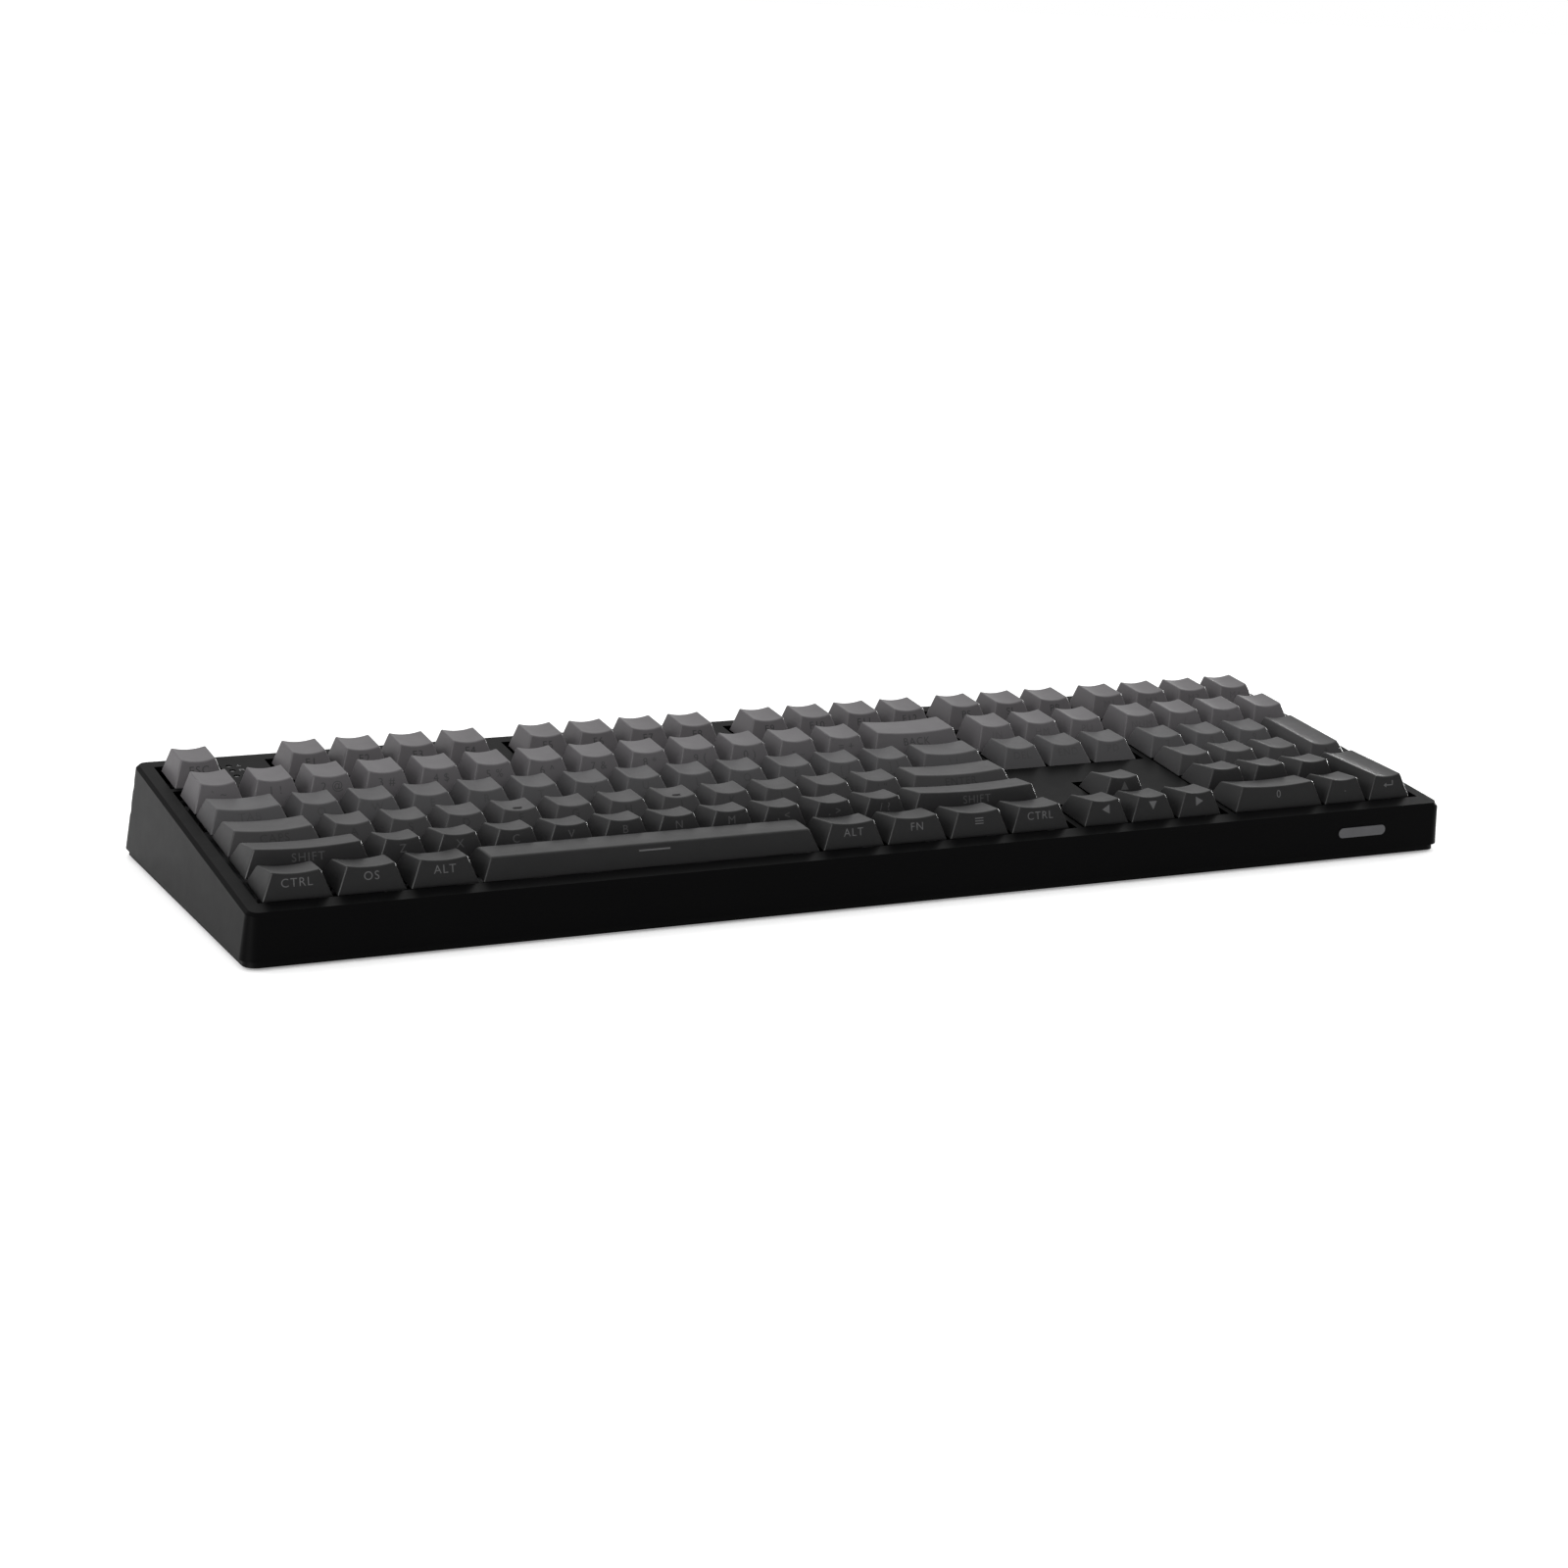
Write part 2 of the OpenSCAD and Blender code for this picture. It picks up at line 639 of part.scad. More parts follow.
module case_screws() {
    color("#55565a") at_case_heads() {
        translate([0, 0, 0.02]) cylinder(h = 1, r = 2.5);
        translate([0, 0, -8.5]) cylinder(h = 8.6, r = M25_R);
    }
}

module board_screws() {
    color("#55565a") deck_frame() at(BOARD_SCREWS) {
        translate([0, 0, plate_top + 0.02]) cylinder(h = 1.3, r = 1.68);
        translate([0, 0, board_bottom - 4.5]) cylinder(h = plate_top - board_bottom + 4.6, r = M2_R);
    }
}

module front_badge() {
    color("#6d6e70") deck_frame() on_front_wall(0.48) round_bar(badge_w, badge_h, badge_t);
}

// ------------------------------------------------------------------ flip feet

module flip_foot(side) {
    tip_r = foot_t / 2;
    low = foot_pin_z - foot_barrel_r;
    color("#1f1f21") translate([side * foot_x, 0, 0]) difference() {
        union() {
            foot_pin(foot_barrel_r, foot_w);
            translate([-foot_w / 2, foot_pin_y - foot_len + tip_r, low]) cube([foot_w, foot_len - tip_r, foot_t]);
            translate([0, foot_pin_y - foot_len + tip_r, low + tip_r])
                rotate([0, 90, 0]) cylinder(h = foot_w, r = tip_r, center = true);
        }
        foot_pin(foot_pin_r + fine, foot_w + 2);
        translate([-6, foot_pin_y - foot_len + 4, low + 2.4]) cube([12, foot_len - 10, 3]);
    }
}

module flip_foot_pins() {
    color("#9a9ca0") for (f = FEET) translate([f[1] * foot_x, 0, 0])
        foot_pin(foot_pin_r, foot_w + 2 * pocket_side + 2 * pocket_wall - 1.2);
}

for (g = KEY_GROUPS) key_group(g);
keys_navigation();
for (t = TALL_KEYS) tall_key(t);
for (f = FEET) flip_foot(f[1]);
top_case();
bottom_case();
switch_plate();
circuit_board();
case_foam();
switch_bases();
switch_tops();
switch_springs();
switch_contacts();
stabiliser_housings();
stabiliser_wires();
indicator_light_pipes();
indicator_leds();
usb_socket();
controller_chip();
rubber_feet();
case_screws();
board_screws();
front_badge();
flip_foot_pins();
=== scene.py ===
"""Looks of the full-size mechanical keyboard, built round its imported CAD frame.

Lengths of the keys and the printed marks are in millimetres, until the DECK matrix turns them into
the row frame's metres. In the deck's own frame X runs right and Y back from the front left corner
of the key field, and Z rises from the keycaps' lower edges. Everything else is in metres.
"""
import math

import bmesh
import bpy
import numpy as np
from mathutils import Matrix, Vector


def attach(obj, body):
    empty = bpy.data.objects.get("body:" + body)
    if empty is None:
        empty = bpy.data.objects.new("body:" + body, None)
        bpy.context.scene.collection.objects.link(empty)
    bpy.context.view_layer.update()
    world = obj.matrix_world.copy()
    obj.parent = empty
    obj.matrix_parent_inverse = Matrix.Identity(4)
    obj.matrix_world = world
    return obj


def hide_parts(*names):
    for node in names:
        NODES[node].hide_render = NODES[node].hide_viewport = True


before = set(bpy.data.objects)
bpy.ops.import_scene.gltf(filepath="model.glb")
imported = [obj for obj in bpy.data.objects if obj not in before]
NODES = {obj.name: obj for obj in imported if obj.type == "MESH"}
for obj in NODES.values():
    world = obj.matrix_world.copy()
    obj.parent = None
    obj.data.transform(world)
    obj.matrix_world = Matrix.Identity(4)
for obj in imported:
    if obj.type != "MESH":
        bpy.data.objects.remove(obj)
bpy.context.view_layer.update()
MM = 0.001

# ---- Driving dimensions, the same as the CAD's
UNIT = 19.05                 # pitch of the keys
FUNCTION_GAP = 0.25          # gap in front of the function row, in units
CAP_GAP = 0.7                # from a slot's edge to the keycap's lower edge
CAP_SIDE = 3.7               # from a slot's edge to the side of the keycap's top
GROOVE = 0.9                 # depth of the finger groove
CAP_WALL = 1.3
FIELD_W = 22.5 * UNIT
ROWS_DEPTH = (6 + FUNCTION_GAP) * UNIT
TILT = math.radians(6.2)
FRONT_HEIGHT = 18.6          # of the key field's front edge over the desk
TRAY_FLOOR = 3.0
FRONT_BEZEL, REAR_BEZEL = 9.3, 7.5
DECK_RISE = 0.8              # the deck's face over the keycaps' lower edges
DRAFT = math.tan(math.radians(5.6))
EDGE_CHAMFER = 1.1
EDGE_DROP = EDGE_CHAMFER - DECK_RISE
INDICATORS = [(23.3, y) for y in (106.5, 111.7, 116.1)]
STABILISER_REACH = 11.9      # from a keycap's middle to its outer posts
SPACE_REACH = 50
# Top of the keycaps in each row: front edge's y and height, back edge's y and height
ROW_TOPS = [
    (4.8, 8.5, 17.6, 8.3), (5.1, 8.8, 18.0, 8.6), (5.3, 7.05, 17.3, 6.4),
    (4.9, 7.0, 17.0, 5.75), (3.4, 8.8, 15.7, 6.3), (3.5, 8.6, 16.2, 6.05),
]
SPACE_TOP = (3.9, 7.2, 15.6, 6.2)

front_edge = (FRONT_BEZEL + DRAFT * EDGE_DROP) * math.cos(TILT) - EDGE_DROP * math.sin(TILT)
rear_low = -(FRONT_HEIGHT - TRAY_FLOOR + (ROWS_DEPTH + REAR_BEZEL) * math.sin(TILT)) \
    / (math.cos(TILT) - DRAFT * math.sin(TILT))
rear_edge = (ROWS_DEPTH + REAR_BEZEL - DRAFT * rear_low) * math.cos(TILT) \
    - rear_low * math.sin(TILT)
deck_corner = Vector((-FIELD_W / 2, (front_edge - rear_edge) / 2, FRONT_HEIGHT))
DECK = Matrix.Translation(deck_corner * MM) @ Matrix.Rotation(TILT, 4, "X") @ Matrix.Scale(MM, 4)

# ---- Keys: node, row, first left edge and width in units, legends
KEY_GROUPS = [
    ("key_escape", 0, 0, 1, "ESC"),
    ("keys_f1_to_f4", 0, 2, 1, "F1 F2 F3 F4"),
    ("keys_f5_to_f8", 0, 6.5, 1, "F5 F6 F7 F8"),
    ("keys_f9_to_f12", 0, 11, 1, "F9 F10 F11 F12"),
    ("keys_system", 0, 15.25, 1, "PS SL PB"),
    ("keys_media", 0, 18.5, 1, "M1 M2 M3 M4"),
    ("keys_number_row", 1, 0, 1, "`~ 1! 2@ 3# 4$ 5% 6^ 7& 8* 9( 0) -_ =+"),
    ("key_backspace", 1, 13, 2, "BACK"),
    ("keys_keypad_operators", 1, 18.5, 1, "NUM / * -"),
    ("key_tab", 2, 0, 1.5, "TAB"),
    ("keys_upper_letters", 2, 1.5, 1, "Q W E R T Y U I O P [{ ]}"),
    ("key_backslash", 2, 13.5, 1.5, "\\|"),
    ("keys_keypad_789", 2, 18.5, 1, "7 8 9"),
    ("key_caps_lock", 3, 0, 1.75, "CAPS"),
    ("keys_home_letters", 3, 1.75, 1, "A S D F G H J K L ;: '\""),
    ("key_enter", 3, 12.75, 2.25, "ENTER"),
    ("keys_keypad_456", 3, 18.5, 1, "4 5 6"),
    ("key_left_shift", 4, 0, 2.25, "SHIFT"),
    ("keys_lower_letters", 4, 2.25, 1, "Z X C V B N M ,< .> /?"),
    ("key_right_shift", 4, 12.25, 2.75, "SHIFT"),
    ("key_arrow_up", 4, 16.25, 1, "up"),
    ("keys_keypad_123", 4, 18.5, 1, "1 2 3"),
    ("key_left_ctrl", 5, 0, 1.25, "CTRL"),
    ("key_left_os", 5, 1.25, 1.25, "OS"),
    ("key_left_alt", 5, 2.5, 1.25, "ALT"),
    ("key_space", 5, 3.75, 6.25, "bar"),
    ("key_right_alt", 5, 10, 1.25, "ALT"),
    ("key_function", 5, 11.25, 1.25, "FN"),
    ("key_menu", 5, 12.5, 1.25, "menu"),
    ("key_right_ctrl", 5, 13.75, 1.25, "CTRL"),
    ("key_arrow_left", 5, 15.25, 1, "left"),
    ("key_arrow_down", 5, 16.25, 1, "down"),
    ("key_arrow_right", 5, 17.25, 1, "right"),
    ("key_keypad_0", 5, 18.5, 2, "0"),
    ("key_keypad_point", 5, 20.5, 1, "."),
]
SPACE_KEY = "key_space"
HOMING_KEYS, HOMING_ROW, HOMING_X = "keys_home_letters", 3, (4.75, 7.75)
NAVIGATION_X = 15.25
TALL_X = 21.5


def row_y(row):
    """Front edge of a row of slots."""
    return (5 + FUNCTION_GAP) * UNIT if row == 0 else (5 - row) * UNIT


# ------------------------------------------------------------------ mesh helpers

def linked(name, data):
    """A new object of data, in the scene."""
    ob = bpy.data.objects.new(name, data)
    bpy.context.scene.collection.objects.link(ob)
    return ob


def merge(bm, form):
    """Moves form, another bmesh, into bm."""
    mesh = bpy.data.meshes.new("form")
    form.to_mesh(mesh)
    form.free()
    bm.from_mesh(mesh)
    bpy.data.meshes.remove(mesh)


def piece(name, bm, matrix, body, material, replaces=()):
    """Makes a mesh object of bm, placed by matrix, that rides on body."""
    mesh = bpy.data.meshes.new(name)
    bmesh.ops.transform(bm, matrix=matrix, verts=bm.verts)
    bmesh.ops.recalc_face_normals(bm, faces=bm.faces)
    bm.to_mesh(mesh)
    bm.free()
    ob = linked(name, mesh)
    mesh.materials.append(material)
    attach(ob, body)
    if replaces:
        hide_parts(*replaces)
    return ob


def loft(bm, rings, cap_first=False, cap_last=False):
    """Joins closed rings of as many points each with quads. Returns the rows of vertices."""
    rows = [[bm.verts.new(p) for p in ring] for ring in rings]
    n = len(rows[0])
    for low, high in zip(rows, rows[1:]):
        for i in range(n):
            j = (i + 1) % n
            bm.faces.new((low[i], low[j], high[j], high[i]))
    if cap_first:
        bm.faces.new(rows[0][::-1])
    if cap_last:
        bm.faces.new(rows[-1])
    return rows


def smooth_all(bm):
    for f in bm.faces:
        f.smooth = True


def weighted(ob):
    """Keeps the shading of ob's flat faces flat."""
    mod = ob.modifiers.new("weighted", "WEIGHTED_NORMAL")
    mod.keep_sharp = True


# ------------------------------------------------------------------ keycaps

CORNER_FACETS = 4
GRID_X, GRID_Y = 10, 8       # facets of a key unit's top, across and deep
CORNER_GUARD = 0.04          # share of a side that is left free next to each corner
GROOVE_OVERRUN = 0.6         # the groove's arc goes on this far past the sides of the top
SPACE_CROWN = 0.2            # the space bar's top falls this much to its front and back
RING_ROUNDS = 5              # rounds in which a ring settles on the top's height
LOWER_EDGE = 0.14            # chamfer of the lower edge
LOW_RADIUS, HIGH_RADIUS = 0.45, 0.6
FILLET, SPACE_FILLET = 0.4, 0.5
ROOF = GROOVE + 1.1          # from the top's plane to the hollow's roof
POST_BORE, POST_RADIUS = 2.06, 2.75


def outline_terms(nx, ny):
    """Terms of a rounded outline's points: how far along each side, and the outward direction."""
    u, v, nxs, nys = [], [], [], []
    guard = CORNER_GUARD
    tx = [guard + (1 - 2 * guard) * i / (nx - 2) for i in range(nx - 1)]
    ty = [guard + (1 - 2 * guard) * i / (ny - 2) for i in range(ny - 1)]
    corners = [(0, 0, 180), (1, 0, 270), (1, 1, 0), (0, 1, 90)]
    sides = [
        [(t, 0, 0, -1) for t in tx], [(1, t, 1, 0) for t in ty],
        [(1 - t, 1, 0, 1) for t in tx], [(0, 1 - t, -1, 0) for t in ty],
    ]
    for (cu, cv, a0), side in zip(corners, sides):
        for k in range(CORNER_FACETS + 1):
            a = math.radians(a0 + 90 * k / CORNER_FACETS)
            u.append(cu)
            v.append(cv)
            nxs.append(math.cos(a))
            nys.append(math.sin(a))
        for s in side:
            u.append(s[0])
            v.append(s[1])
            nxs.append(s[2])
            nys.append(s[3])
    return [np.array(t, float) for t in (u, v, nxs, nys)]


class Cap:
    """One keycap's form in its slot's own frame."""

    def __init__(self, width, depth, top, grooved):
        self.w, self.d, self.top, self.grooved = width, depth, top, grooved
        self.lean = (CAP_SIDE - CAP_GAP) / ((top[1] + top[3]) / 2)
        self.half = width / 2 - CAP_SIDE
        self.r = (self.half ** 2 / GROOVE + GROOVE) / 2

    def height(self, x, y):
        """Height of the top face over a point."""
        yf, zf, yb, zb = self.top
        plane = zf + (zb - zf) * (y - yf) / (yb - yf)
        if self.grooved:
            dx = np.minimum(np.abs(x - self.w / 2), self.half + GROOVE_OVERRUN)
            return plane + np.minimum((self.r - GROOVE) - np.sqrt(self.r ** 2 - dx ** 2), 0)
        mid = (yf + yb) / 2
        return plane - SPACE_CROWN * ((y - mid) / ((yb - yf) / 2)) ** 2

    def sides(self, z, inset):
        """Left, right, front and back limits at a height, drawn in by inset."""
        yf, zf, yb, zb = self.top
        x0 = CAP_GAP + self.lean * z + inset
        y0 = CAP_GAP + (yf - CAP_GAP) * z / zf + inset
        y1 = self.d - CAP_GAP - (self.d - CAP_GAP - yb) * z / zb - inset
        return x0, self.w - x0, y0, y1

    def ring(self, terms, level, drop, inset, radius):
        """Points of one ring. level is the share of the top's height, from which drop is taken."""
        u, v, nx, ny = terms
        r = max(radius - inset * 0.6, 0.12)
        z = np.full(len(u), 3.0)
        for _ in range(RING_ROUNDS):
            x0, x1, y0, y1 = self.sides(z, inset)
            x = x0 + r + (x1 - x0 - 2 * r) * u + r * nx
            y = y0 + r + (y1 - y0 - 2 * r) * v + r * ny
            z = level * self.height(x, y) - drop
        return np.stack([x, y, z], 1)


def keycap(bm, x, y, width, depth, top, grooved, posts):
    """Adds one hollow keycap whose slot's corner is at x, y."""
    cap = Cap(width, depth, top, grooved)
    nx = max(GRID_X, int(width / UNIT * GRID_X))
    ny = max(GRID_Y, int(depth / UNIT * GRID_Y))
    terms = outline_terms(nx, ny)
    fillet = FILLET if grooved else SPACE_FILLET
    bevel = fillet * (1 - math.sqrt(0.5))
    # from the hollow's roof down, under the wall and up to the top
    rings = [
        cap.ring(terms, 1, ROOF, CAP_WALL, LOW_RADIUS),
        cap.ring(terms, 0, 0, CAP_WALL, LOW_RADIUS),
        cap.ring(terms, 0, 0, 0.3, LOW_RADIUS),
        cap.ring(terms, 0, 0, LOWER_EDGE, LOW_RADIUS),
        cap.ring(terms, 0, -LOWER_EDGE, 0, LOW_RADIUS),
        cap.ring(terms, 0.5, 0, 0, (LOW_RADIUS + HIGH_RADIUS) / 2),
        cap.ring(terms, 1, fillet, 0, HIGH_RADIUS),
        cap.ring(terms, 1, bevel, bevel, HIGH_RADIUS),
        cap.ring(terms, 1, 0, fillet, HIGH_RADIUS),
        cap.ring(terms, 1, 0, fillet + 0.5, HIGH_RADIUS),
    ]
    move = np.array([x, y, 0])
    rows = loft(bm, [r + move for r in rings], cap_first=True)
    # the top face, a grid inside the last ring
    x0, x1, y0, y1 = cap.sides((top[1] + top[3]) / 2, fillet + 1.1)
    gx = [x0 + (x1 - x0) * i / (nx - 2) for i in range(nx - 1)]
    gy = [y0 + (y1 - y0) * j / (ny - 2) for j in range(ny - 1)]
    grid = [
        [bm.verts.new((a + x, b + y, float(cap.height(np.float64(a), b)))) for a in gx]
        for b in gy
    ]
    for j in range(ny - 2):
        for i in range(nx - 2):
            bm.faces.new((grid[j][i], grid[j][i + 1], grid[j + 1][i + 1], grid[j + 1][i]))
    # the band between the last ring and the grid, corner by corner and side by side
    rim = rows[-1]
    edge = [grid[0], [r[-1] for r in grid], grid[-1][::-1], [r[0] for r in grid][::-1]]
    at = 0
    for side in edge:
        for k in range(CORNER_FACETS):
            bm.faces.new((rim[at + k], rim[at + k + 1], side[0]))
        at += CORNER_FACETS + 1
        bm.faces.new((rim[at - 1], rim[at], side[0]))
        for i in range(len(side) - 1):
            bm.faces.new((rim[at + i], rim[at + i + 1], side[i + 1], side[i]))
        at += len(side)
        bm.faces.new((rim[at - 1], rim[at % len(rim)], side[-1]))
    for px, py in posts:
        c = (x + width / 2 + px, y + depth / 2 + py)
        high = float(cap.height(np.float64(width / 2 + px), depth / 2 + py)) - ROOF + 0.05
        tube(bm, c, POST_BORE, POST_RADIUS, 0.2, high)


def circle(centre, radius, sides):
    """Points of a circle round centre."""
    turns = [2 * math.pi * i / sides for i in range(sides)]
    return [(centre[0] + radius * math.cos(a), centre[1] + radius * math.sin(a)) for a in turns]


def tube(bm, centre, inner, outer, low, high, sides=24):
    """Adds an upright tube, chamfered at its lower end."""
    side, rise = 0.15, 0.2
    profile = (
        (inner, high), (inner, low + rise), (inner + side, low),
        (outer - side, low), (outer, low + rise), (outer, high),
    )
    rows = loft(bm, [[(x, y, z) for x, y in circle(centre, r, sides)] for r, z in profile])
    for i in range(sides):
        j = (i + 1) % sides
        bm.faces.new((rows[-1][i], rows[-1][j], rows[0][j], rows[0][i]))


BAR_BACK, BAR_HALF, BAR_RADIUS, BAR_LIFT = 2.6, 1.7, 0.42, 0.05


def homing_bar(bm, x, row):
    """Adds the small bar that a finger finds, in the groove of the keycap round x."""
    top = ROW_TOPS[row]
    y = row_y(row) + top[0] + BAR_BACK
    z = top[1] + (top[3] - top[1]) * BAR_BACK / (top[2] - top[0]) - GROOVE
    rings = []
    for step in range(-8, 9):
        s = step / 8
        r = BAR_RADIUS * math.sqrt(max(1 - abs(s) ** 8, 0.02))
        rings.append([(x + BAR_HALF * s, b, c) for b, c in circle((y, z + BAR_LIFT), r, 12)])
    loft(bm, rings, cap_first=True, cap_last=True)


# ------------------------------------------------------------------ legends

LETTER_HEIGHT = 2.65
FONT_SIZE = 3.85             # gives capitals of LETTER_HEIGHT
FONT_SPACING = 1.16
FONT_THINNING = -0.01
LEGEND_LEVEL = 0.6           # share of the front face's height at a legend's middle
ICON_MIDDLE = 1.3            # height of an arrowhead's middle over the baseline
INK = 0.05                   # thickness of a legend, half of it sunk in the face


def text_mesh(words):
    """A bmesh of words in thin letters, centred on its width and standing on its baseline."""
    curve = bpy.data.curves.new("letters", "FONT")
    curve.body = words
    curve.size = FONT_SIZE
    curve.extrude = INK / 2
    curve.offset = FONT_THINNING
    curve.space_character = FONT_SPACING
    curve.resolution_u = 4
    ob = linked("letters", curve)
    bpy.context.view_layer.update()
    graph = bpy.context.evaluated_depsgraph_get()
    mesh = bpy.data.meshes.new_from_object(ob.evaluated_get(graph))
    bpy.data.objects.remove(ob)
    bpy.data.curves.remove(curve)
    bm = bmesh.new()
    bm.from_mesh(mesh)
    bpy.data.meshes.remove(mesh)
    bmesh.ops.remove_doubles(bm, verts=bm.verts, dist=1e-4)
    xs = [v.co.x for v in bm.verts]
    middle = (min(xs) + max(xs)) / 2
    bmesh.ops.translate(bm, verts=bm.verts, vec=(-middle, 0, 0))
    return bm


def prism(bm, points):
    """Adds a flat shape of INK thickness."""
    rings = [[(p[0], p[1], z) for p in points] for z in (-INK / 2, INK / 2)]
    loft(bm, rings, cap_first=True, cap_last=True)


def triangle(turn):
    """An arrowhead that points right, turned by as many degrees."""
    bm = bmesh.new()
    c, s = math.cos(math.radians(turn)), math.sin(math.radians(turn))
    corners = ((-1.4, -1.6), (1.6, 0), (-1.4, 1.6))
    prism(bm, [(a * c - b * s, a * s + b * c + ICON_MIDDLE) for a, b in corners])
    return bm


def return_arrow():
    """A bent arrow that points left."""
    bm = bars([(-1.2, 0.75, 3.0, 0.4), (1.5, 1.15, 0.4, 1.4)])
    prism(bm, [(-2.2, 0.95), (-1.0, 0.1), (-1.0, 1.8)])
    return bm


def bars(rects):
    """Flat bars, each given by its left end, foot, width and height."""
    bm = bmesh.new()
    for x, y, w, h in rects:
        prism(bm, [(x, y), (x + w, y), (x + w, y + h), (x, y + h)])
    return bm


ICONS = {
    "right": lambda: triangle(0), "up": lambda: triangle(90),
    "left": lambda: triangle(180), "down": lambda: triangle(270),
    "bar": lambda: bars([(-5.5, 1.9, 11, 0.55)]), "return": return_arrow,
    "menu": lambda: bars([(-1.6, foot, 3.2, 0.35) for foot in (0.2, 1.1, 2.0)]),
}


def legend(bm, words, x, y, width, top):
    """Adds one legend to the front face of the keycap whose slot's corner is at x, y."""
    if words in ICONS:
        form = ICONS[words]()
    else:
        if len(words) == 2 and not words.isalnum():
            words = words[0] + " " + words[1]
        form = text_mesh(words)
    yf, zf = top[0], top[1]
    lean = math.atan2(zf, yf - CAP_GAP)
    centre = zf / math.sin(lean) * LEGEND_LEVEL
    place = Matrix.Translation((x + width / 2, y + CAP_GAP, 0)) @ Matrix.Rotation(lean, 4, "X") \
        @ Matrix.Translation((0, centre - LETTER_HEIGHT / 2, 0))
    bmesh.ops.transform(form, matrix=place, verts=form.verts)
    merge(bm, form)


# ------------------------------------------------------------------ materials

NOISE_LOW, NOISE_HIGH = 0.3, 0.7   # most of a noise texture's values lie between these
MOTTLE = 0.06


def opaque(rgb):
    return tuple(rgb) + (1.0,)


class Mat:
    """A small builder of node materials round one Principled shader."""

    def __init__(self, name, roughness, metallic=0.0, specular=0.5):
        self.mat = bpy.data.materials.new(name)
        self.mat.use_nodes = True
        self.tree = self.mat.node_tree
        self.shader = next(n for n in self.tree.nodes if n.type == "BSDF_PRINCIPLED")
        self.shader.inputs["Roughness"].default_value = roughness
        self.shader.inputs["Metallic"].default_value = metallic
        self.shader.inputs["Specular IOR Level"].default_value = specular
        self.coords = self.tree.nodes.new("ShaderNodeTexCoord").outputs["Object"]

    def node(self, kind, **inputs):
        n = self.tree.nodes.new(kind)
        for key, value in inputs.items():
            socket = n.inputs[key.replace("_", " ")]
            if hasattr(value, "is_linked"):
                self.tree.links.new(value, socket)
            else:
                socket.default_value = value
        return n

    def noise(self, scale, detail=3.0, roughness=0.55, stretch=None):
        vector = self.coords
        if stretch:
            m = self.tree.nodes.new("ShaderNodeMapping")
            self.tree.links.new(self.coords, m.inputs["Vector"])
            m.inputs["Scale"].default_value = stretch
            vector = m.outputs["Vector"]
        return self.node("ShaderNodeTexNoise", Vector=vector, Scale=scale, Detail=detail,
                         Roughness=roughness).outputs[0]

    def ramp(self, factor, stops):
        """A colour between two stops, each a position and a colour."""
        n = self.tree.nodes.new("ShaderNodeValToRGB")
        for e, (at, colour) in zip(n.color_ramp.elements, stops):
            e.position = at
            e.color = opaque(colour)
        self.tree.links.new(factor, n.inputs["Fac"])
        return n.outputs["Color"]

    def span(self, factor, low, high):
        """Turns a noise's values into values from low to high."""
        n = self.node("ShaderNodeMapRange", Value=factor)
        n.inputs["From Min"].default_value = NOISE_LOW
        n.inputs["From Max"].default_value = NOISE_HIGH
        n.inputs["To Min"].default_value = low
        n.inputs["To Max"].default_value = high
        return n.outputs["Result"]

    def colour(self, link):
        self.tree.links.new(link, self.shader.inputs["Base Color"])

    def rough(self, link):
        self.tree.links.new(link, self.shader.inputs["Roughness"])

    def bump(self, height, strength, distance):
        n = self.node("ShaderNodeBump", Height=height)
        n.inputs["Strength"].default_value = strength
        n.inputs["Distance"].default_value = distance
        self.tree.links.new(n.outputs["Normal"], self.shader.inputs["Normal"])


def scaled(rgb, k):
    return tuple(c * k for c in rgb)


def plastic(name, rgb, rough, grain=2600.0, bump=0.25, depth=0.00003, specular=0.5):
    """Moulded plastic: spark-eroded grain, faint mottling and uneven sheen."""
    m = Mat(name, rough[0], specular=specular)
    blotch = m.noise(38.0, 4.0)
    fine = m.noise(grain, 2.0, 0.6)
    m.colour(m.ramp(blotch, [(0.25, scaled(rgb, 1 - MOTTLE)), (0.75, scaled(rgb, 1 + MOTTLE))]))
    m.rough(m.span(m.noise(160.0, 5.0), rough[0], rough[1]))
    m.bump(fine, bump, depth)
    return m.mat


def metal(name, rgb, rough=(0.25, 0.4)):
    """Drawn or rolled metal: fine lines along X."""
    m = Mat(name, rough[0], metallic=1.0)
    lines = m.noise(60.0, 6.0, 0.65, (1, 40, 1))
    m.colour(m.ramp(lines, [(0.3, scaled(rgb, 0.85)), (0.7, scaled(rgb, 1.1))]))
    m.rough(m.span(lines, rough[0], rough[1]))
    m.bump(lines, 0.15, 0.00002)
    return m.mat


ROW_RGB = [
    (0.08, 0.075, 0.079), (0.078, 0.074, 0.078), (0.046, 0.045, 0.047),
    (0.029, 0.0282, 0.0292), (0.018, 0.0177, 0.0183), (0.0095, 0.0095, 0.0098),
]
INK_GREY = [0.03, 0.036, 0.034, 0.016, 0.06, 0.082]
INK_ROUGH = (0.5, 0.62)
CAP_MATS = [
    plastic("keycap_row_%d" % i, c, rough=(0.36, 0.43), specular=0.22)
    for i, c in enumerate(ROW_RGB)
]
INKS = [
    plastic("legend_row_%d" % i, (c, c, c * 1.02), rough=INK_ROUGH, specular=0.25)
    for i, c in enumerate(INK_GREY)
]
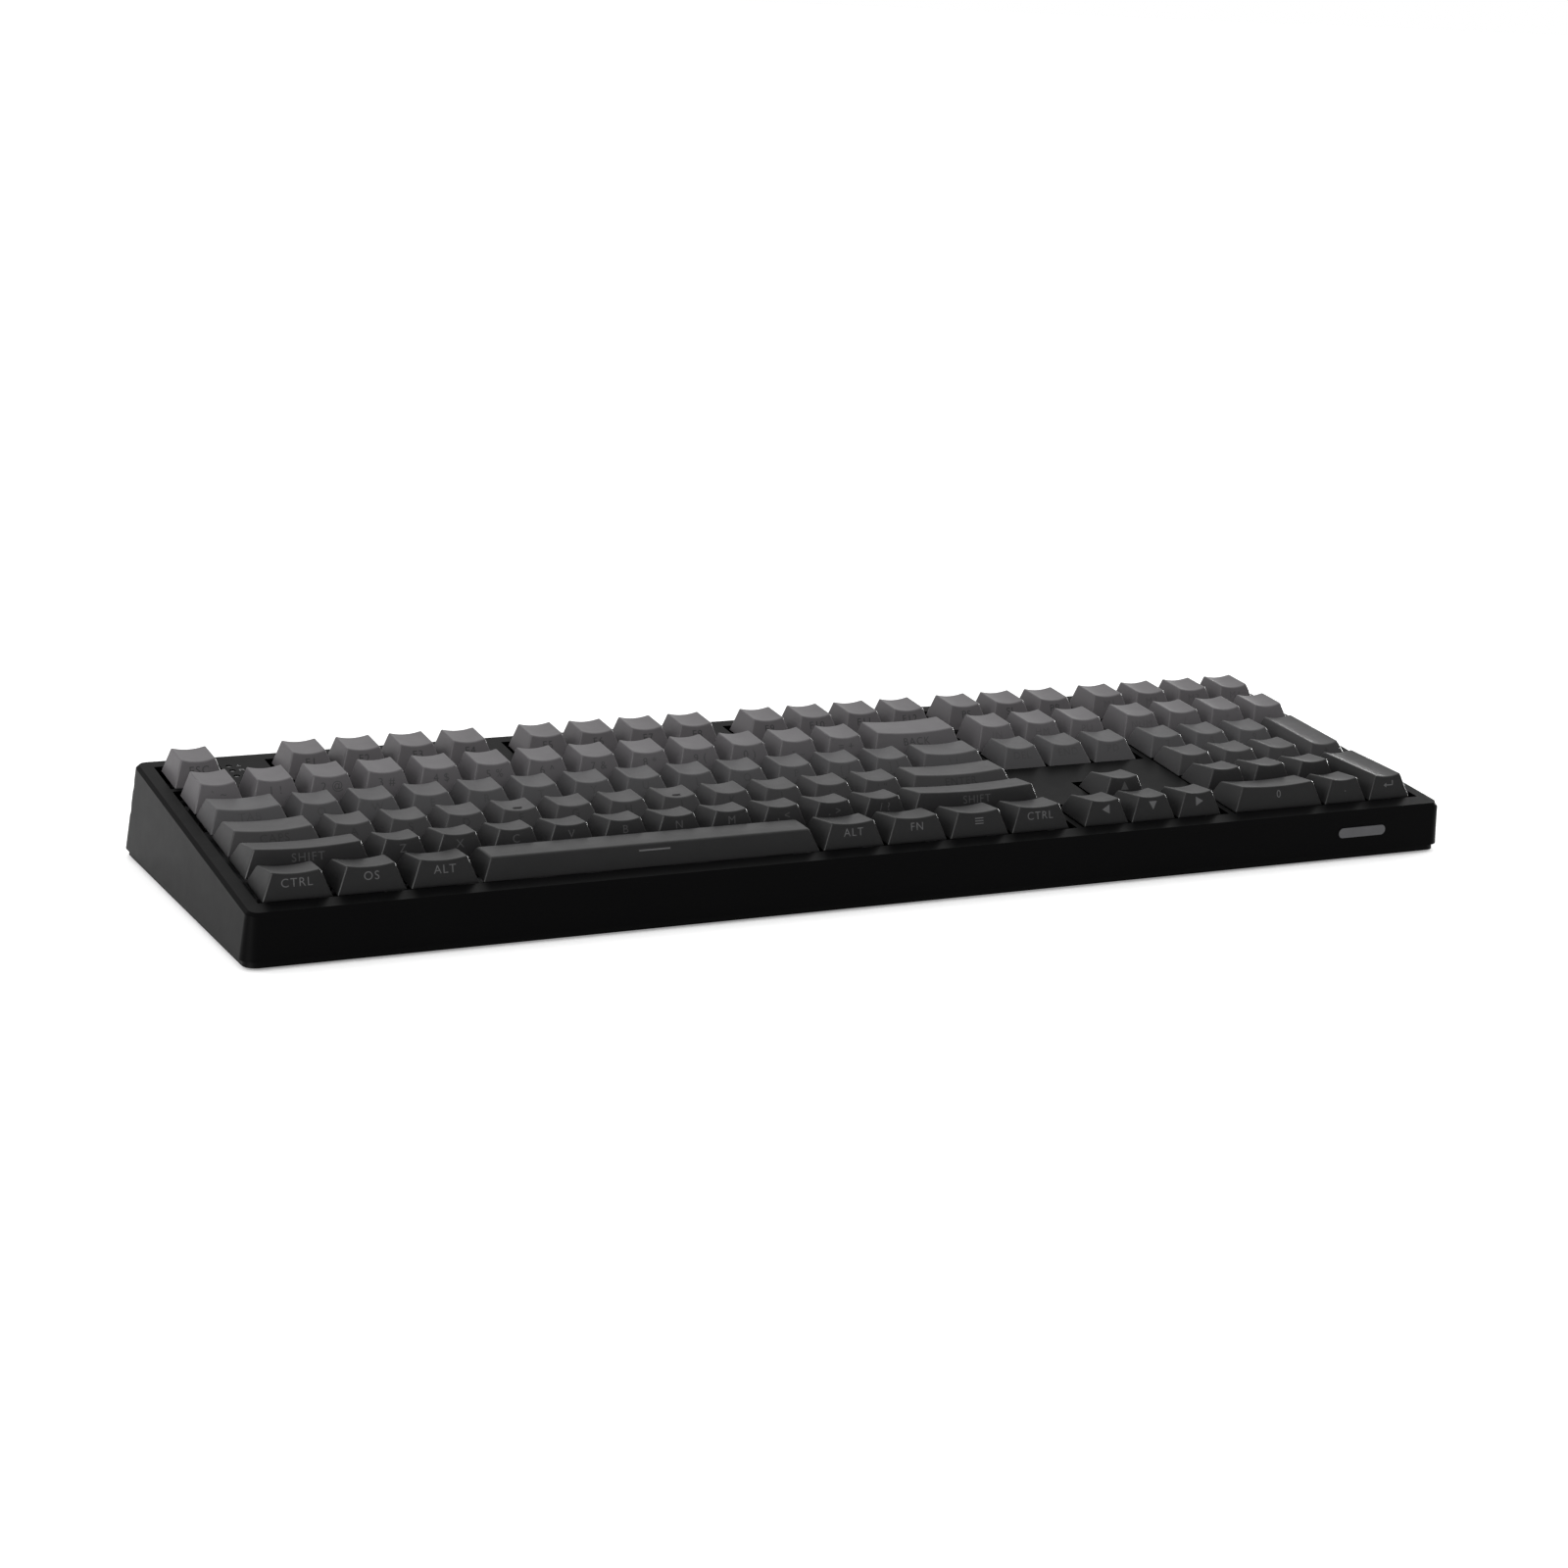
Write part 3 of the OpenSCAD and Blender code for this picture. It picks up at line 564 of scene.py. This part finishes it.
# legends that the photo hardly shows are a little darker than their keycaps
FAINT_INKS = [
    plastic("legend_faint_%d" % i, scaled(c, 0.78), rough=INK_ROUGH, specular=0.25)
    for i, c in enumerate(ROW_RGB)
]
FAINT = (
    "keys_media", "keys_keypad_operators", "keys_keypad_789", "keys_keypad_456",
    "keys_keypad_123", "key_tab",
)
CASE_MAT = plastic("case_top", (0.0015, 0.0015, 0.0016), rough=(0.29, 0.33), grain=1800.0,
                   bump=0.08, specular=0.02)
TRAY_MAT = plastic("case_bottom", (0.002, 0.002, 0.0021), rough=(0.35, 0.42), grain=1500.0,
                   bump=0.2, specular=0.03)
NYLON = plastic("switch_nylon", (0.008, 0.008, 0.0085), rough=(0.45, 0.55), specular=0.25)
STEM = plastic("switch_stem", (0.014, 0.012, 0.011), rough=(0.4, 0.5), specular=0.25)
FOOT = plastic("foot_plastic", (0.018, 0.018, 0.019), rough=(0.45, 0.55))
RUBBER = plastic("rubber", (0.012, 0.012, 0.012), rough=(0.75, 0.85), bump=0.5)
FOAM = plastic("foam", (0.03, 0.03, 0.033), rough=(0.85, 0.95), grain=900.0, bump=0.9,
               depth=0.0002)
BOARD = plastic("circuit_board", (0.006, 0.055, 0.025), rough=(0.25, 0.35), bump=0.05)
CHIP = plastic("chip_epoxy", (0.012, 0.012, 0.013), rough=(0.5, 0.6))
PIPE = plastic("light_pipe", (0.03, 0.03, 0.032), rough=(0.12, 0.2), bump=0.02)
LED = plastic("led_epoxy", (0.7, 0.68, 0.5), rough=(0.2, 0.3), bump=0.05)
PLATE = plastic("steel_plate", (0.03, 0.03, 0.031), rough=(0.45, 0.6), grain=1200.0, bump=0.4)
MARK_MAT = plastic("indicator_mark", (0.12, 0.12, 0.122), rough=(0.5, 0.6))
STEEL = metal("spring_steel", (0.5, 0.5, 0.51))
SCREW = metal("screw_steel", (0.12, 0.12, 0.125), rough=(0.3, 0.45))
BRASS = metal("contact_brass", (0.6, 0.43, 0.2))
USB = metal("usb_shell", (0.45, 0.45, 0.46))
BADGE = metal("badge_metal", (0.075, 0.075, 0.078), rough=(0.32, 0.42))

# CAD nodes that are kept as they are, each with its material
KEEP = {
    "switch_plate": PLATE, "circuit_board": BOARD, "case_foam": FOAM, "switch_bases": NYLON,
    "switch_tops": NYLON, "switch_springs": STEEL, "switch_contacts": BRASS,
    "stabiliser_housings": NYLON, "stabiliser_wires": STEEL, "indicator_light_pipes": PIPE,
    "indicator_leds": LED, "usb_socket": USB, "controller_chip": CHIP, "rubber_feet": RUBBER,
    "case_screws": SCREW, "board_screws": SCREW, "front_badge": BADGE, "flip_foot_pins": STEEL,
    "flip_foot_left": FOOT, "flip_foot_right": FOOT, "bottom_case": TRAY_MAT,
}
for node_name, material in KEEP.items():
    mesh = NODES[node_name].data
    mesh.materials.clear()
    mesh.materials.append(material)


# ------------------------------------------------------------------ case

def node_copy(node_name, near):
    """A bmesh of a CAD node, with vertices nearer than near joined."""
    bm = bmesh.new()
    bm.from_mesh(NODES[node_name].data)
    bmesh.ops.remove_doubles(bm, verts=bm.verts, dist=near)
    return bm


def softened(node_name, body, material, width):
    """Replaces a CAD node by a copy with its sharp edges rounded off."""
    bm = node_copy(node_name, 2e-6)
    bmesh.ops.dissolve_limit(bm, angle_limit=math.radians(0.5), verts=bm.verts, edges=bm.edges)
    smooth_all(bm)
    ob = piece(node_name + "_soft", bm, Matrix.Identity(4), body, material, (node_name,))
    mod = ob.modifiers.new("soft_edges", "BEVEL")
    mod.width = width
    mod.segments = 2
    mod.limit_method = "ANGLE"
    mod.angle_limit = math.radians(30)
    mod.use_clamp_overlap = True
    weighted(ob)


CASE_ROUNDING = 0.00025
softened("top_case", "case", CASE_MAT, CASE_ROUNDING)

# Printed marks beside the three indicators: a frame, a letter and an upright on a foot
MARK_X, MARK_Y = 2.4, -0.8   # from an indicator's middle to its mark's corner
MARK_LIFT = 0.02             # of a mark's face over the deck
MARK_BARS = (
    ((0, 0, 1.6, 0.25), (0, 0.25, 0.25, 1.1), (1.35, 0.25, 0.25, 1.1), (0, 1.35, 1.6, 0.25)),
    ((0, 0, 0.25, 1.6), (1.35, 0, 0.25, 1.6), (0.25, 1.35, 1.1, 0.25), (0.25, 0.7, 1.1, 0.25)),
    ((0.7, 0, 0.25, 1.6), (0, 0, 1.65, 0.25)),
)
marks = bmesh.new()
for (x, y), rects in zip(INDICATORS, MARK_BARS):
    form = bars([(x + MARK_X + a, y + MARK_Y + b, w, h) for a, b, w, h in rects])
    bmesh.ops.translate(form, verts=form.verts, vec=(0, 0, DECK_RISE - INK / 2 + MARK_LIFT))
    merge(marks, form)
piece("indicator_marks", marks, DECK, "case", MARK_MAT)


# ------------------------------------------------------------------ building the keys

WIDEST_STEM = 0.009          # a solid that is wider than this is a keycap


def stems(node_name):
    """The sliders of a key node: the CAD's own solids, apart from its keycaps."""
    bm = node_copy(node_name, 1e-6)
    seen = set()
    drop = []
    for seed in bm.verts:
        if seed in seen:
            continue
        island, stack = [], [seed]
        seen.add(seed)
        while stack:
            v = stack.pop()
            island.append(v)
            for e in v.link_edges:
                o = e.other_vert(v)
                if o not in seen:
                    seen.add(o)
                    stack.append(o)
        xs = [v.co.x for v in island]
        if max(xs) - min(xs) > WIDEST_STEM:
            drop += island
    bmesh.ops.delete(bm, geom=drop, context="VERTS")
    return bm


def build_keys(node_name, caps, row, ink, part="", last=True):
    """Makes the keycaps, legends and, with the last part, the sliders of a key node.

    caps lists x, y, width, depth, top, grooved, posts and legend of each keycap.
    """
    slot, material = "keycap_row_%d" % row, CAP_MATS[row]
    bm, marks = bmesh.new(), bmesh.new()
    for x, y, width, depth, top, grooved, posts, words in caps:
        keycap(bm, x, y, width, depth, top, grooved, posts)
        legend(marks, words, x, y, width, top)
    if node_name == HOMING_KEYS:
        for u in HOMING_X:
            homing_bar(bm, (u + 0.5) * UNIT, HOMING_ROW)
    smooth_all(bm)
    weighted(piece("caps_" + node_name + part, bm, DECK, node_name, material, (node_name,)))
    piece("legends_" + node_name + part, marks, DECK, node_name, ink)
    if last:
        piece("stems_" + node_name, stems(node_name), Matrix.Identity(4), node_name, STEM,
              (node_name,))


ONE_POST = ((0, 0),)


for node_name, row, first, width, words in KEY_GROUPS:
    is_space = node_name == SPACE_KEY
    top = SPACE_TOP if is_space else ROW_TOPS[row]
    reach = SPACE_REACH if is_space else STABILISER_REACH
    posts = ((0, 0), (-reach, 0), (reach, 0)) if width >= 2 else ONE_POST
    caps = [
        ((first + i * width) * UNIT, row_y(row), width * UNIT, UNIT, top, not is_space, posts, word)
        for i, word in enumerate(words.split())
    ]
    build_keys(node_name, caps, row, FAINT_INKS[row] if node_name in FAINT else INKS[row])

# The navigation keys stand in two rows, so their node has a piece of each row's colour.
for row, words in ((1, "IN HM PU"), (2, "DEL END PD")):
    caps = [
        ((NAVIGATION_X + i) * UNIT, row_y(row), UNIT, UNIT, ROW_TOPS[row], True, ONE_POST, word)
        for i, word in enumerate(words.split())
    ]
    build_keys("keys_navigation", caps, row, FAINT_INKS[row], "_%d" % row, row == 2)

# The two tall keys reach over a second row.
for node_name, row, word in (("key_keypad_plus", 3, "+"), ("key_keypad_enter", 5, "return")):
    front, back = ROW_TOPS[row], ROW_TOPS[row - 1]
    top = (front[0], front[1], back[2] + UNIT, back[3])
    posts = ((0, 0), (0, -STABILISER_REACH), (0, STABILISER_REACH))
    caps = [(TALL_X * UNIT, row_y(row), UNIT, 2 * UNIT, top, True, posts, word)]
    build_keys(node_name, caps, row, INKS[row])

# ------------------------------------------------------------------ floor, light, camera

FLOOR_RADIUS = 40
FLOOR_GREY = 0.82
FLOOR_GLOW = 0.3
WHITE = (1, 1, 1, 1)

floor_mesh = bpy.data.meshes.new("floor")
bm = bmesh.new()
bmesh.ops.create_circle(bm, cap_ends=True, radius=FLOOR_RADIUS, segments=96)
bm.to_mesh(floor_mesh)
bm.free()
floor = linked("floor", floor_mesh)
FLOOR_MAT = Mat("floor", 0.9, specular=0.1)
FLOOR_MAT.shader.inputs["Base Color"].default_value = (FLOOR_GREY, FLOOR_GREY, FLOOR_GREY, 1)
FLOOR_MAT.shader.inputs["Emission Color"].default_value = WHITE
FLOOR_MAT.shader.inputs["Emission Strength"].default_value = FLOOR_GLOW
floor_mesh.materials.append(FLOOR_MAT.mat)

world = bpy.data.worlds.new("studio")
world.use_nodes = True
bpy.context.scene.world = world
sky = world.node_tree
way = sky.nodes.new("ShaderNodeSeparateXYZ")
sky.links.new(sky.nodes.new("ShaderNodeTexCoord").outputs["Generated"], way.inputs["Vector"])


def brightness(axis, start, end, low, high):
    """World light that goes from low to high, between two values of a direction's axis."""
    n = sky.nodes.new("ShaderNodeMapRange")
    n.interpolation_type = "SMOOTHSTEP"
    sky.links.new(way.outputs[axis], n.inputs["Value"])
    limits = {"From Min": start, "From Max": end, "To Min": low, "To Max": high}
    for key, value in limits.items():
        n.inputs[key].default_value = value
    return n.outputs["Result"]


def combined(a, b, kind):
    """A maths node of two outputs."""
    n = sky.nodes.new("ShaderNodeMath")
    n.operation = kind
    for socket, value in zip(n.inputs, (a, b)):
        sky.links.new(value, socket)
    return n.outputs[0]


# The room is brighter behind, overhead and on the left than in front.
behind_and_above = combined(
    brightness("Y", -0.2, 0.7, 0.3, 0.75), brightness("Z", 0.15, 0.9, 0.0, 1.05), "ADD")
room = combined(behind_and_above, brightness("X", -0.3, -1.0, 0.0, 0.15), "ADD")
# The camera itself sees it as plain white.
paths = sky.nodes.new("ShaderNodeLightPath")
light = combined(room, paths.outputs["Is Camera Ray"], "MAXIMUM")
sky.links.new(light, sky.nodes["Background"].inputs["Strength"])
sky.nodes["Background"].inputs["Color"].default_value = WHITE


def softbox(name, at, size, power, sheen=False):
    """An area light that faces the keyboard. A sheen light shows only in reflections."""
    data = bpy.data.lights.new(name, "AREA")
    data.shape = "RECTANGLE"
    data.size, data.size_y = size
    data.energy = power
    ob = linked(name, data)
    ob.location = at
    ob.rotation_euler = (-Vector(at)).to_track_quat("-Z", "Y").to_euler()
    ob.visible_camera = False
    ob.visible_diffuse = not sheen


STRIP_SIZE, SHEEN_SIZE = (0.5, 0.9), (0.9, 0.28)
softbox("left_strip", (-1.5, -0.5, 0.6), STRIP_SIZE, 7)
softbox("right_strip", (1.6, 0.1, 0.6), STRIP_SIZE, 5)
softbox("left_sheen", (-1.6, -0.75, 0.16), SHEEN_SIZE, 60, True)
softbox("right_sheen", (1.6, 0.75, 0.16), SHEEN_SIZE, 50, True)

# The photo's camera, as it was fitted to the key corners
CAMERA_AT = (-0.4764, -0.9436, 0.2959)
CAMERA_LENS, CAMERA_SENSOR = 71.8, 36
VIEW_AZIMUTH, VIEW_ELEVATION, VIEW_ROLL = [math.radians(a) for a in (-26.36, 14.41, 2.36)]
CLIP_END = 200               # far enough to see the whole floor

camera_data = bpy.data.cameras.new("camera")
camera_data.lens = CAMERA_LENS
camera_data.sensor_width = CAMERA_SENSOR
camera_data.clip_end = CLIP_END
camera = linked("camera", camera_data)
back = Vector((
    math.sin(VIEW_AZIMUTH) * math.cos(VIEW_ELEVATION),
    -math.cos(VIEW_AZIMUTH) * math.cos(VIEW_ELEVATION),
    math.sin(VIEW_ELEVATION),
))
level = Vector((math.cos(VIEW_AZIMUTH), math.sin(VIEW_AZIMUTH), 0))
up = back.cross(level)
right = level * math.cos(VIEW_ROLL) + up * math.sin(VIEW_ROLL)
turned = back.cross(right)
camera.matrix_world = Matrix.Translation(CAMERA_AT) \
    @ Matrix((right, turned, back)).transposed().to_4x4()
bpy.context.scene.camera = camera
bpy.context.scene.view_settings.view_transform = "Standard"
